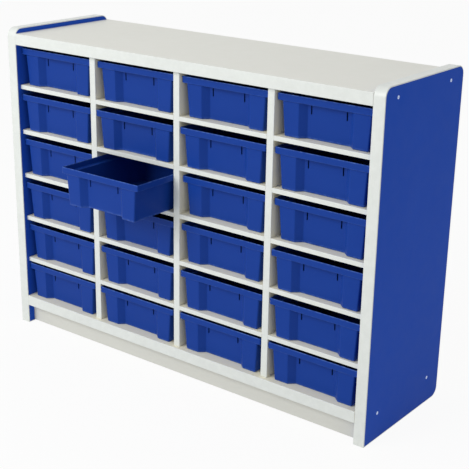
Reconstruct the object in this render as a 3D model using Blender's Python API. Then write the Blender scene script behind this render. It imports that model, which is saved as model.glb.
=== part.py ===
"""A compartment storage unit: a laminated case with four columns of six pull-out trays.

The case stands on its two side panels. Its front faces -Y, X runs along the front and Z is up.
Sizes are in metres. The origin is on the floor, in the middle of the space that the unit takes up
with one tray drawn out, as it stands at rest.
"""
import math

import bmesh
import bpy

# Case: overall layout
COLUMNS = 4
ROWS = 6
BAY_WIDTH = 0.2475          # clear width of a compartment
TOP_BAY_LESS = 0.0035       # top compartments' clear height, less than the middle ones'
LOWEST_BAY_LESS = 0.0080    # bottom compartments' clear height, less than the middle ones'
CASE_DEPTH = 0.335          # front edge to rear edge of the side panels
CASE_HEIGHT = 0.803         # floor to the upper edge of the side panels

# Case: boards
SIDE_THICKNESS = 0.028
SIDE_CORNER_RADIUS = 0.022
TOP_THICKNESS = 0.028
TOP_DROP = 0.013            # how far the top lies below the side panels' upper edge
DECK_THICKNESS = 0.028
UPRIGHT_THICKNESS = 0.018
SHELF_THICKNESS = 0.011
FRONT_SETBACK = 0.0115      # shelves and uprights, behind the side panels' front edge
EDGING = 0.002              # thickness of the edging strips
BACK_THICKNESS = 0.006
BACK_INSET = 0.008          # back panel's rear face, ahead of the case's rear edge
KICK_HEIGHT = 0.0515        # floor to the deck's underside
KICK_THICKNESS = 0.018
KICK_SETBACK = 0.020
KICK_FLOOR_GAP = 0.003

# Fits
SEAM = 0.0003               # between two pieces that are glued, screwed or laid together
HOUSING_DEPTH = 0.004       # grooves that hold the shelf ends
HOUSING_STOP = 0.002        # the grooves start this far behind the shelves' front
BACK_GROOVE_DEPTH = 0.006   # grooves that hold the back panel's edges

# Screws that hold a side panel to the top and to the deck
SCREW_HEAD_RADIUS = 0.0040
SCREW_HEAD_HEIGHT = 0.0018
SCREW_HEAD_SINK = 0.0002    # head's face, inside the side panel's outer face
SCREW_SHANK_RADIUS = 0.0020
SCREW_GRIP = 0.022          # length of shank in the top or the deck
SCREW_FRONT = 0.0515        # front pair, behind the case's front edge
SCREW_SPACING = 0.2265

# Trays
TRAY_SIDE_PLAY = 0.0022     # each side, between the collar and the compartment's wall
TRAY_REAR_PLAY = 0.0035     # between the collar and the back panel
TRAY_HEAD_PLAY = 0.0132     # between the collar and the shelf above, in a middle compartment
TRAY_SETBACK = 0.0195       # collar's front, behind the case's front edge, with a tray pushed home
TRAY_WALL = 0.0022
TRAY_FLOOR = 0.0028
TRAY_COLLAR_HEIGHT = 0.015  # the collar is the wider band round the tray's top
TRAY_COLLAR_SLOPE = 0.0015  # its underside falls by this much from its edge to the body
TRAY_COLLAR_OVERHANG = 0.0097  # collar beyond the body at the sides and the rear
TRAY_FRONT_OVERHANG = 0.003    # collar beyond the body's front shoulders
TRAY_COLLAR_RADIUS = 0.003
TRAY_BODY_RADIUS = 0.0035
TRAY_TAPER = 0.0070         # body's sides and rear lean in by this much from top to foot
TRAY_FRONT_TAPER = 0.0020   # body's front leans in by this much
TRAY_FOOT_CHAMFER = 0.0025
TRAY_RECESS_HALF_WIDTH = 0.068   # at the front, between the shoulders
TRAY_RECESS_FLARE = 0.015        # the recess is narrower by this much each side at its back
TRAY_RECESS_DEPTH = 0.0135
TRAY_SLOT_OFFSET = 0.0442   # label slots, from the tray's middle
TRAY_SLOT_WIDTH = 0.0035
TRAY_SLOT_LENGTH = 0.0185
TRAY_SLOT_HEADROOM = 0.0040  # between the slots and the collar
ARC_STEPS = 3               # straight steps in each rounded corner of a tray
PANEL_ARC_STEPS = 8         # straight steps in each rounded corner of a side panel
ROUND_STEPS = 12            # flats round a screw or its hole
CUT_PAST = 0.002            # a cutter reaches this far out of the face that it cuts

# Where the trays stand: one is drawn out, the others are pushed in unevenly
OPEN_TRAY = "c2_r3"
OPEN_DISTANCE = 0.130
TRAY_STRAY = 0.010          # the most that a closed tray stands forward of its place
TRAY_STRAY_SHARES = (       # share of it, column by column from the top row down
    (0.10, 0.70, 0.50, 0.75, 0.30, 0.80),
    (0.15, 0.95, 0.00, 0.65, 0.45, 1.00),
    (0.10, 0.80, -0.10, 0.35, 0.65, 0.90),
    (0.10, 0.50, 0.15, 0.75, 0.80, 0.90),
)

# Places worked out from the sizes
INNER_WIDTH = COLUMNS * BAY_WIDTH + (COLUMNS - 1) * UPRIGHT_THICKNESS
CASE_WIDTH = INNER_WIDTH + 2 * SIDE_THICKNESS
DECK_TOP = KICK_HEIGHT + DECK_THICKNESS
TOP_SURFACE = CASE_HEIGHT - TOP_DROP
TOP_UNDERSIDE = TOP_SURFACE - TOP_THICKNESS
CLEAR_HEIGHT = TOP_UNDERSIDE - DECK_TOP - (ROWS - 1) * SHELF_THICKNESS
BAY_HEIGHT = (CLEAR_HEIGHT + TOP_BAY_LESS + LOWEST_BAY_LESS) / ROWS   # middle compartments
LOWEST_BAY_HEIGHT = BAY_HEIGHT - LOWEST_BAY_LESS
BACK_FRONT = CASE_DEPTH - BACK_INSET - BACK_THICKNESS
SHELF_REAR = BACK_FRONT - SEAM
HOUSING_FRONT = FRONT_SETBACK + HOUSING_STOP
SHELF_PITCH = BAY_HEIGHT + SHELF_THICKNESS
TRAY_WIDTH = BAY_WIDTH - 2 * TRAY_SIDE_PLAY
TRAY_LENGTH = BACK_FRONT - TRAY_REAR_PLAY - TRAY_SETBACK
TRAY_HEIGHT = BAY_HEIGHT - SEAM - TRAY_HEAD_PLAY
TRAY_COLLAR_EDGE = TRAY_HEIGHT - TRAY_COLLAR_HEIGHT
TRAY_BODY_TOP = TRAY_COLLAR_EDGE - TRAY_COLLAR_SLOPE
TRAY_SLOT_BOTTOM = TRAY_BODY_TOP - TRAY_SLOT_HEADROOM - TRAY_SLOT_LENGTH
CASE_FRONT = -(CASE_DEPTH + TRAY_SETBACK - OPEN_DISTANCE) / 2   # world Y of the case's front edge


def clear_scene():
    """Remove every object from the scene."""
    for item in list(bpy.data.objects):
        bpy.data.objects.remove(item, do_unlink=True)


def make_material(name, colour, roughness, metallic=0.0):
    """Return a Principled material of one colour."""
    made = bpy.data.materials.new(name)
    made.use_nodes = True
    shader = made.node_tree.nodes["Principled BSDF"]
    shader.inputs["Base Color"].default_value = (*colour, 1.0)
    shader.inputs["Roughness"].default_value = roughness
    shader.inputs["Metallic"].default_value = metallic
    return made


def finish_mesh(shape, name):
    """Turn a bmesh into a mesh whose faces point outwards."""
    bmesh.ops.recalc_face_normals(shape, faces=shape.faces)
    mesh = bpy.data.meshes.new(name)
    shape.to_mesh(mesh)
    shape.free()
    return mesh


def box_mesh(name, size):
    """Return a box of the given size whose lowest corner is at its origin."""
    shape = bmesh.new()
    bmesh.ops.create_cube(shape, size=1.0)
    bmesh.ops.translate(shape, verts=shape.verts, vec=(0.5, 0.5, 0.5))
    bmesh.ops.scale(shape, verts=shape.verts, vec=size)
    return finish_mesh(shape, name)


def boxes_mesh(name, boxes):
    """Return one mesh of several separate boxes, each given by its low corner and its size."""
    shape = bmesh.new()
    for low, size in boxes:
        made = bmesh.ops.create_cube(shape, size=1.0)["verts"]
        bmesh.ops.translate(shape, verts=made, vec=(0.5, 0.5, 0.5))
        bmesh.ops.scale(shape, verts=made, vec=size)
        bmesh.ops.translate(shape, verts=made, vec=low)
    return finish_mesh(shape, name)


def prism_mesh(name, outline, length):
    """Extrude a flat outline, a list of 3-D points, along the vector `length`."""
    shape = bmesh.new()
    face = shape.faces.new([shape.verts.new(point) for point in outline])
    swept = bmesh.ops.extrude_face_region(shape, geom=[face])["geom"]
    moved = [item for item in swept if isinstance(item, bmesh.types.BMVert)]
    bmesh.ops.translate(shape, verts=moved, vec=length)
    return finish_mesh(shape, name)


def turned_mesh(name, profile, steps=ROUND_STEPS):
    """Turn a profile, as (distance towards -X, radius), about X. Its two ends are on the axis."""
    shape = bmesh.new()
    ends = (shape.verts.new((-profile[0][0], 0.0, 0.0)), shape.verts.new((-profile[-1][0], 0.0, 0.0)))
    rings = []
    for along, radius in profile[1:-1]:
        ring = []
        for step in range(steps):
            angle = 2 * math.pi * step / steps
            ring.append(shape.verts.new((-along, radius * math.cos(angle), radius * math.sin(angle))))
        rings.append(ring)
    for step in range(steps):
        after = (step + 1) % steps
        shape.faces.new((ends[0], rings[0][after], rings[0][step]))
        shape.faces.new((ends[1], rings[-1][step], rings[-1][after]))
        for lower, upper in zip(rings, rings[1:]):
            shape.faces.new((lower[step], lower[after], upper[after], upper[step]))
    return finish_mesh(shape, name)


def copies_mesh(name, pattern, places):
    """Join copies of a mesh at several places."""
    shape = bmesh.new()
    for spot in places:
        before = len(shape.verts)
        shape.from_mesh(pattern)
        shape.verts.ensure_lookup_table()
        bmesh.ops.translate(shape, verts=shape.verts[before:], vec=spot)
    return finish_mesh(shape, name)


def place(name, mesh, material, parent, location=(0.0, 0.0, 0.0)):
    """Add an object with its material under a parent."""
    item = bpy.data.objects.new(name, mesh)
    bpy.context.scene.collection.objects.link(item)
    if not mesh.materials:
        mesh.materials.append(material)
    item.parent = parent
    item.location = location
    return item


def cut(target, name, mesh, location=(0.0, 0.0, 0.0)):
    """Cut a hidden shape, placed in the target's own frame, out of the target."""
    cutter = bpy.data.objects.new(name, mesh)
    bpy.context.scene.collection.objects.link(cutter)
    cutter.parent = target
    cutter.location = location
    cutter.hide_render = True
    cutter.display_type = "WIRE"
    step = target.modifiers.new(name, "BOOLEAN")
    step.operation = "DIFFERENCE"
    step.solver = "EXACT"
    step.object = cutter


def shade_round(mesh, angle=math.radians(35)):
    """Shade a round piece smooth, with its edges kept sharp."""
    mesh.shade_smooth()
    mesh.set_sharp_from_angle(angle=angle)


def shelf_undersides():
    """Heights of the shelves' undersides, from the lowest shelf up."""
    first = DECK_TOP + LOWEST_BAY_HEIGHT
    return [first + index * SHELF_PITCH for index in range(ROWS - 1)]


def bay_floor(row):
    """Height of the surface that row's trays stand on, row 1 being the highest."""
    if row == ROWS:
        return DECK_TOP
    return shelf_undersides()[ROWS - 1 - row] + SHELF_THICKNESS


def bay_left(column):
    """X of the left wall of a column of compartments, column 1 being the leftmost."""
    return -INNER_WIDTH / 2 + (column - 1) * (BAY_WIDTH + UPRIGHT_THICKNESS)


def panel_outline(inset, x):
    """Outline of a side panel in its own plane: three round corners and a square lower front one."""
    low, front = inset, inset
    high, rear = CASE_HEIGHT - inset, CASE_DEPTH - inset
    radius = SIDE_CORNER_RADIUS - inset
    points = [(x, front, low)]
    corners = (
        (rear - radius, low + radius, -math.pi / 2),
        (rear - radius, high - radius, 0.0),
        (front + radius, high - radius, math.pi / 2),
    )
    for centre_y, centre_z, start in corners:
        for step in range(PANEL_ARC_STEPS + 1):
            angle = start + math.pi / 2 * step / PANEL_ARC_STEPS
            points.append((x, centre_y + radius * math.cos(angle), centre_z + radius * math.sin(angle)))
    return points


def side_board_mesh(name):
    """A side panel's board, without its edging."""
    return prism_mesh(name, panel_outline(EDGING + SEAM, 0.0), (SIDE_THICKNESS, 0.0, 0.0))


def side_edging_mesh(name):
    """The strip round a side panel: a closed ring as wide as the board is thick."""
    shape = bmesh.new()
    loops = []
    for inset, x in ((0.0, 0.0), (0.0, SIDE_THICKNESS), (EDGING, SIDE_THICKNESS), (EDGING, 0.0)):
        loops.append([shape.verts.new(point) for point in panel_outline(inset, x)])
    count = len(loops[0])
    for one, two in zip(loops, loops[1:] + loops[:1]):
        for index in range(count):
            after = (index + 1) % count
            shape.faces.new((one[index], one[after], two[after], two[index]))
    mesh = finish_mesh(shape, name)
    shade_round(mesh)
    return mesh


def screw_depths():
    """Y of the front and the rear screws."""
    return (SCREW_FRONT, SCREW_FRONT + SCREW_SPACING)


def screw_heights():
    """Z of the screws into the top and into the deck, each in the middle of its board."""
    return (TOP_SURFACE - TOP_THICKNESS / 2, DECK_TOP - DECK_THICKNESS / 2)


def screw_profile():
    """Profile of a flat-headed screw from its head to its point."""
    head_end = SCREW_HEAD_SINK + SCREW_HEAD_HEIGHT
    length = SIDE_THICKNESS + SEAM + SCREW_GRIP
    return [
        (SCREW_HEAD_SINK, 0.0),
        (SCREW_HEAD_SINK, SCREW_HEAD_RADIUS),
        (head_end, SCREW_HEAD_RADIUS),
        (head_end, SCREW_SHANK_RADIUS),
        (length - 1.5 * SCREW_SHANK_RADIUS, SCREW_SHANK_RADIUS),
        (length, 0.0),
    ]


def side_hole_profile():
    """Profile of a screw's hole through a side panel, with the seat for its head."""
    head, shank = SCREW_HEAD_RADIUS + SEAM, SCREW_SHANK_RADIUS + SEAM
    seat = SCREW_HEAD_SINK + SCREW_HEAD_HEIGHT + SEAM
    end = SIDE_THICKNESS + CUT_PAST
    return [(-CUT_PAST, 0.0), (-CUT_PAST, head), (seat, head), (seat, shank), (end, shank), (end, 0.0)]


def end_hole_profile():
    """Profile of a screw's hole in the end of the top or the deck."""
    shank, end = SCREW_SHANK_RADIUS + SEAM, SCREW_GRIP + SEAM
    return [(-CUT_PAST, 0.0), (-CUT_PAST, shank), (end, shank), (end, 0.0)]


def housing_boxes(x):
    """Boxes that cut one column's housings, twice as wide as they are deep, from x towards +X."""
    front = HOUSING_FRONT - SEAM
    size = (2 * HOUSING_DEPTH, SHELF_REAR + SEAM - front, SHELF_THICKNESS + 2 * SEAM)
    return [((x, front, height - SEAM), size) for height in shelf_undersides()]


def back_groove_box(x, width, low, height):
    """A groove that holds an edge of the back panel."""
    return ((x, BACK_FRONT - SEAM, low), (width, BACK_THICKNESS + 2 * SEAM, height))


def build_sides(case, blue, white):
    """The two side panels, each a board with its ring of edging, the right one bored for screws."""
    low = DECK_TOP - BACK_GROOVE_DEPTH
    height = TOP_UNDERSIDE + BACK_GROOVE_DEPTH - low
    for label, left in (("left", -CASE_WIDTH / 2), ("right", INNER_WIDTH / 2)):
        name = label + "_side"
        inner = SIDE_THICKNESS if label == "left" else 0.0
        board = place(name, side_board_mesh(name), blue, case, (left, 0.0, 0.0))
        housings = housing_boxes(inner - HOUSING_DEPTH)
        groove = back_groove_box(inner - BACK_GROOVE_DEPTH, 2 * BACK_GROOVE_DEPTH, low, height)
        cut(board, name + "_housings", boxes_mesh(name + "_housings", housings))
        cut(board, name + "_groove", boxes_mesh(name + "_groove", [groove]))
        place(name + "_edging", side_edging_mesh(name + "_edging"), white, case, (left, 0.0, 0.0))
    hole = turned_mesh("side_hole", side_hole_profile())
    places = [(SIDE_THICKNESS, y, z) for z in screw_heights() for y in screw_depths()]
    cut(board, "right_side_screw_holes", copies_mesh("right_side_screw_holes", hole, places))


def build_level_board(case, name, low, thickness, groove_low, finish):
    """The top or the deck: a board between the sides, grooved for the back and bored at its right."""
    left = -INNER_WIDTH / 2 + SEAM
    width = INNER_WIDTH - 2 * SEAM
    board = place(name, box_mesh(name, (width, CASE_DEPTH, thickness)), finish, case, (left, 0.0, low))
    groove = back_groove_box(-CUT_PAST, width + 2 * CUT_PAST, groove_low, BACK_GROOVE_DEPTH + CUT_PAST)
    cut(board, name + "_groove", boxes_mesh(name + "_groove", [groove]))
    hole = turned_mesh(name + "_hole", end_hole_profile())
    places = [(width, y, thickness / 2) for y in screw_depths()]
    cut(board, name + "_screw_holes", copies_mesh(name + "_screw_holes", hole, places))


def upright_middles():
    """X of each upright's middle."""
    return [bay_left(column) - UPRIGHT_THICKNESS / 2 for column in range(2, COLUMNS + 1)]


def build_uprights(case, finish):
    """The partitions between the columns, with housings on both faces."""
    low = DECK_TOP + SEAM
    size = (UPRIGHT_THICKNESS, SHELF_REAR - FRONT_SETBACK, TOP_UNDERSIDE - SEAM - low)
    boxes = []
    for x in (-HOUSING_DEPTH, UPRIGHT_THICKNESS - HOUSING_DEPTH):
        for corner, (width, depth, height) in housing_boxes(x):
            lowered = (corner[0], corner[1] - FRONT_SETBACK, corner[2] - low)
            boxes.append((lowered, (width, depth + CUT_PAST, height)))
    for index, middle in enumerate(upright_middles(), start=1):
        name = "upright_%d" % index
        board = place(name, box_mesh(name, size), finish, case,
                      (middle - UPRIGHT_THICKNESS / 2, FRONT_SETBACK, low))
        cut(board, name + "_housings", boxes_mesh(name + "_housings", boxes))


def shelf_outline():
    """Plan of a shelf: its tongues reach into the housings, which stop short of its front."""
    half = BAY_WIDTH / 2
    narrow, wide = half - SEAM, half + HOUSING_DEPTH - SEAM
    return [
        (-narrow, FRONT_SETBACK, 0.0), (narrow, FRONT_SETBACK, 0.0), (narrow, HOUSING_FRONT, 0.0),
        (wide, HOUSING_FRONT, 0.0), (wide, SHELF_REAR, 0.0), (-wide, SHELF_REAR, 0.0),
        (-wide, HOUSING_FRONT, 0.0), (-narrow, HOUSING_FRONT, 0.0),
    ]


def build_shelves(case, finish):
    """A shelf between every two compartments of a column."""
    mesh = prism_mesh("shelf", shelf_outline(), (0.0, 0.0, SHELF_THICKNESS))
    for column in range(1, COLUMNS + 1):
        middle = bay_left(column) + BAY_WIDTH / 2
        for row in range(1, ROWS):
            height = bay_floor(row) - SHELF_THICKNESS
            place("shelf_c%d_r%d" % (column, row), mesh, finish, case, (middle, 0.0, height))


def build_back(case, finish):
    """The back panel, its edges in the grooves of the sides, the top and the deck."""
    reach = BACK_GROOVE_DEPTH - SEAM
    low = DECK_TOP - reach
    size = (INNER_WIDTH + 2 * reach, BACK_THICKNESS, TOP_UNDERSIDE + reach - low)
    place("back_panel", box_mesh("back_panel", size), finish, case,
          (-INNER_WIDTH / 2 - reach, BACK_FRONT, low))


def build_kick_boards(case, finish):
    """The two boards under the deck that close its front and rear."""
    size = (INNER_WIDTH - 2 * SEAM, KICK_THICKNESS, KICK_HEIGHT - SEAM - KICK_FLOOR_GAP)
    left = -INNER_WIDTH / 2 + SEAM
    rear = CASE_DEPTH - KICK_SETBACK - KICK_THICKNESS
    for name, y in (("front_kick_board", KICK_SETBACK), ("rear_kick_board", rear)):
        place(name, box_mesh(name, size), finish, case, (left, y, KICK_FLOOR_GAP))


def build_screws(case, steel):
    """The right side's screws, each with its head flush with the outer face."""
    mesh = turned_mesh("screw", screw_profile())
    shade_round(mesh)
    for level, height in zip(("top", "deck"), screw_heights()):
        for end, depth in zip(("front", "rear"), screw_depths()):
            place("right_screw_%s_%s" % (level, end), mesh, steel, case,
                  (CASE_WIDTH / 2, depth, height))


def tray_outline(height, half, front, rear, radius, recess_depth, recess_spread=0.0):
    """Plan of a tray at one height: a round-cornered rectangle with a recess in its front.

    The recess has the same four points everywhere, in line with the front where its depth is 0.
    """
    outer = TRAY_RECESS_HALF_WIDTH + recess_spread
    inner = outer - TRAY_RECESS_FLARE
    back = front + recess_depth
    points = [(-outer, front), (-inner, back), (inner, back), (outer, front)]
    corners = (
        (half - radius, front + radius, -math.pi / 2),
        (half - radius, rear - radius, 0.0),
        (radius - half, rear - radius, math.pi / 2),
        (radius - half, front + radius, math.pi),
    )
    for centre_x, centre_y, start in corners:
        for step in range(ARC_STEPS + 1):
            angle = start + math.pi / 2 * step / ARC_STEPS
            points.append((centre_x + radius * math.cos(angle), centre_y + radius * math.sin(angle)))
    return [(x, y, height) for x, y in points]


def tray_body_outline(height, inward=0.0):
    """Plan of the tray's body at a height, drawn in by a wall or a chamfer."""
    lean = 1.0 - height / TRAY_HEIGHT
    half = TRAY_WIDTH / 2 - TRAY_COLLAR_OVERHANG - TRAY_TAPER * lean - inward
    front = TRAY_FRONT_OVERHANG + TRAY_FRONT_TAPER * lean + inward
    rear = TRAY_LENGTH - TRAY_COLLAR_OVERHANG - TRAY_TAPER * lean - inward
    slope = TRAY_RECESS_FLARE / TRAY_RECESS_DEPTH
    spread = inward * (math.sqrt(1 + slope * slope) - slope)
    return tray_outline(height, half, front, rear, TRAY_BODY_RADIUS - inward, TRAY_RECESS_DEPTH, spread)


def tray_collar_outline(height, inward=0.0):
    """Plan of the tray's collar at a height."""
    return tray_outline(height, TRAY_WIDTH / 2 - inward, inward, TRAY_LENGTH - inward,
                        TRAY_COLLAR_RADIUS - inward, 0.0)


def tray_mesh():
    """One tray: foot, leaning walls, collar and inside, with its two label slots."""
    rings = [
        tray_body_outline(0.0, TRAY_FOOT_CHAMFER),
        tray_body_outline(TRAY_FOOT_CHAMFER),
        tray_body_outline(TRAY_BODY_TOP),
        tray_collar_outline(TRAY_COLLAR_EDGE),
        tray_collar_outline(TRAY_HEIGHT),
        tray_collar_outline(TRAY_HEIGHT, TRAY_WALL),
        tray_collar_outline(TRAY_COLLAR_EDGE + TRAY_WALL, TRAY_WALL),
        tray_body_outline(TRAY_BODY_TOP + TRAY_WALL, TRAY_WALL),
        tray_body_outline(TRAY_FLOOR, TRAY_WALL),
    ]
    shape = bmesh.new()
    loops = [[shape.verts.new(point) for point in ring] for ring in rings]
    count = len(loops[0])
    for lower, upper in zip(loops, loops[1:]):
        for index in range(count):
            after = (index + 1) % count
            shape.faces.new((lower[index], lower[after], upper[after], upper[index]))
    shape.faces.new(reversed(loops[0]))
    shape.faces.new(loops[-1])
    plain = bpy.data.objects.new("tray_pattern", finish_mesh(shape, "tray_pattern"))
    bpy.context.scene.collection.objects.link(plain)

    back = TRAY_FRONT_OVERHANG + TRAY_RECESS_DEPTH
    clear = back - TRAY_WALL
    size = (TRAY_SLOT_WIDTH, back + TRAY_FRONT_TAPER + 2 * TRAY_WALL - clear, TRAY_SLOT_LENGTH)
    boxes = [((side * TRAY_SLOT_OFFSET - TRAY_SLOT_WIDTH / 2, clear, TRAY_SLOT_BOTTOM), size)
             for side in (-1, 1)]
    cut(plain, "tray_slots", boxes_mesh("tray_slots", boxes))
    bpy.context.view_layer.update()
    graph = bpy.context.evaluated_depsgraph_get()
    slotted = bpy.data.meshes.new_from_object(plain.evaluated_get(graph))
    slotted.name = "tray"
    for pattern in list(plain.children) + [plain]:
        bpy.data.objects.remove(pattern, do_unlink=True)
    shade_round(slotted)
    return slotted


def build_trays(case, finish):
    """A tray in every compartment, one of them drawn out."""
    mesh = tray_mesh()
    for column in range(1, COLUMNS + 1):
        middle = bay_left(column) + BAY_WIDTH / 2
        for row in range(1, ROWS + 1):
            cell = "c%d_r%d" % (column, row)
            drawn = TRAY_STRAY * TRAY_STRAY_SHARES[column - 1][row - 1]
            if cell == OPEN_TRAY:
                drawn = OPEN_DISTANCE
            place("tray_" + cell, mesh, finish, case,
                  (middle, TRAY_SETBACK - drawn, bay_floor(row) + SEAM))


def main():
    """Build the unit."""
    clear_scene()
    blue_board = make_material("blue_laminate", (0.020, 0.058, 0.300), 0.45)
    white_edge = make_material("white_edging", (0.78, 0.80, 0.77), 0.40)
    white_board = make_material("white_laminate", (0.66, 0.66, 0.62), 0.50)
    blue_tray = make_material("blue_tray_plastic", (0.018, 0.058, 0.305), 0.35)
    steel = make_material("screw_steel", (0.70, 0.72, 0.75), 0.30, 1.0)

    case = bpy.data.objects.new("case", None)
    bpy.context.scene.collection.objects.link(case)
    case.location = (0.0, CASE_FRONT, 0.0)
    bpy.context.view_layer.update()

    build_sides(case, blue_board, white_edge)
    build_level_board(case, "top_board", TOP_UNDERSIDE, TOP_THICKNESS, -CUT_PAST, white_board)
    build_level_board(case, "deck_board", KICK_HEIGHT, DECK_THICKNESS,
                      DECK_THICKNESS - BACK_GROOVE_DEPTH, white_board)
    build_uprights(case, white_board)
    build_shelves(case, white_board)
    build_back(case, white_board)
    build_kick_boards(case, white_board)
    build_screws(case, steel)
    build_trays(case, blue_tray)


main()
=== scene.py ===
"""The looks of a compartment storage unit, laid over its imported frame.

A laminated case holds four columns of moulded trays. Each board gets its laminate and its edging, each
tray its leaning walls, collar, recess and label slots, and each screw its head. Sizes are in metres.
The front of the case faces -Y, X runs along the front and Z is up.
"""
import logging
import math
from collections.abc import Sequence
from dataclasses import dataclass, field
from enum import Enum

import bpy
import numpy as np
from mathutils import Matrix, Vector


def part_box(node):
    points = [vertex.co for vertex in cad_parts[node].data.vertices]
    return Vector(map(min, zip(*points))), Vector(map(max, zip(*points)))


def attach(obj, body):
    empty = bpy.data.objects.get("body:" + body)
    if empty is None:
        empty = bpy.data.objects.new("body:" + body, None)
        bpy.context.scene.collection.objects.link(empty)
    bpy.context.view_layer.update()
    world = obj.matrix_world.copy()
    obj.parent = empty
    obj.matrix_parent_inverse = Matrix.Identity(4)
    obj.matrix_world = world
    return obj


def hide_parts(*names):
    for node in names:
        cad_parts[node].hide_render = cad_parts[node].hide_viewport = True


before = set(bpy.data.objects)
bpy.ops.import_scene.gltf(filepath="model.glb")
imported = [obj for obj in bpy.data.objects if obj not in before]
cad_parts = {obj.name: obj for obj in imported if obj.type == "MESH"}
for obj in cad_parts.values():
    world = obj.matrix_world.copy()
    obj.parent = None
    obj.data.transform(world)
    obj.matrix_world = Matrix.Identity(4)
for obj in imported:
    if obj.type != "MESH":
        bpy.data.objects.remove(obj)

LOG = logging.getLogger("storage_unit")
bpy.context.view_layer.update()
CASE = "case"
LEVEL_EDGE_RADIUS = 0.0015
SHELF_TONGUE = 0.00385
STRIP_SHARP = 60.0
TRAY_SHARP = 50.0
WHITE = (1.0, 1.0, 1.0, 1.0)
Array = np.ndarray
Triple = tuple[float, float, float]
Colour = Triple
Socket = bpy.types.NodeSocket
Material = bpy.types.Material


class RunAxis(Enum):
    """The axis that a board's section is carried along."""

    X = 0
    Z = 2


class Side(Enum):
    """The side panel that a piece belongs to. The value points out of the case along X."""

    LEFT = -1
    RIGHT = 1


# Node trees


class Graph:
    """Adds and joins the nodes of one node tree."""

    def __init__(self, tree: bpy.types.NodeTree) -> None:
        """Take up a tree.

        Args:
            tree: The tree.
        """
        self.tree = tree

    def add(self, kind: str, **inputs: object) -> bpy.types.ShaderNode:
        """Add a node and set its sockets by name.

        Args:
            kind: Blender's name for the node type.
            inputs: A value for each named socket, with spaces written as underscores.

        Returns:
            The new node.
        """
        node = self.tree.nodes.new(kind)
        for socket, value in inputs.items():
            node.inputs[socket.replace("_", " ")].default_value = value
        return node

    def join(self, source: Socket, target: Socket) -> None:
        """Link one socket to another.

        Args:
            source: The output.
            target: The input.
        """
        self.tree.links.new(source, target)

    def work_out(self, operation: str, one: Socket, two: Socket | float) -> Socket:
        """Work out one value from two.

        Args:
            operation: Blender's name for the operation.
            one: The socket that gives the first value.
            two: The second value, or a socket that gives it.

        Returns:
            The result.
        """
        node = self.add("ShaderNodeMath")
        node.operation = operation
        self.join(one, node.inputs[0])
        if isinstance(two, float):
            node.inputs[1].default_value = two
        else:
            self.join(two, node.inputs[1])
        return node.outputs["Value"]

    def mix(self, share: Socket, one: Socket, two: Socket) -> Socket:
        """Mix two shaders.

        Args:
            share: How much of the second one shows, from 0 to 1.
            one: The first shader.
            two: The second shader.

        Returns:
            The mixed shader.
        """
        node = self.add("ShaderNodeMixShader")
        for source, target in zip((share, one, two), node.inputs):
            self.join(source, target)
        return node.outputs["Shader"]

    def seen(self) -> Socket:
        """Pick out the rays that show the background as it is: camera, glossy and transmission.

        Returns:
            1 for those rays and 0 for the others.
        """
        path = self.add("ShaderNodeLightPath")
        value = path.outputs["Is Camera Ray"]
        for name in ("Is Glossy Ray", "Is Transmission Ray"):
            value = self.work_out("MAXIMUM", value, path.outputs[name])
        return value


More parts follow.
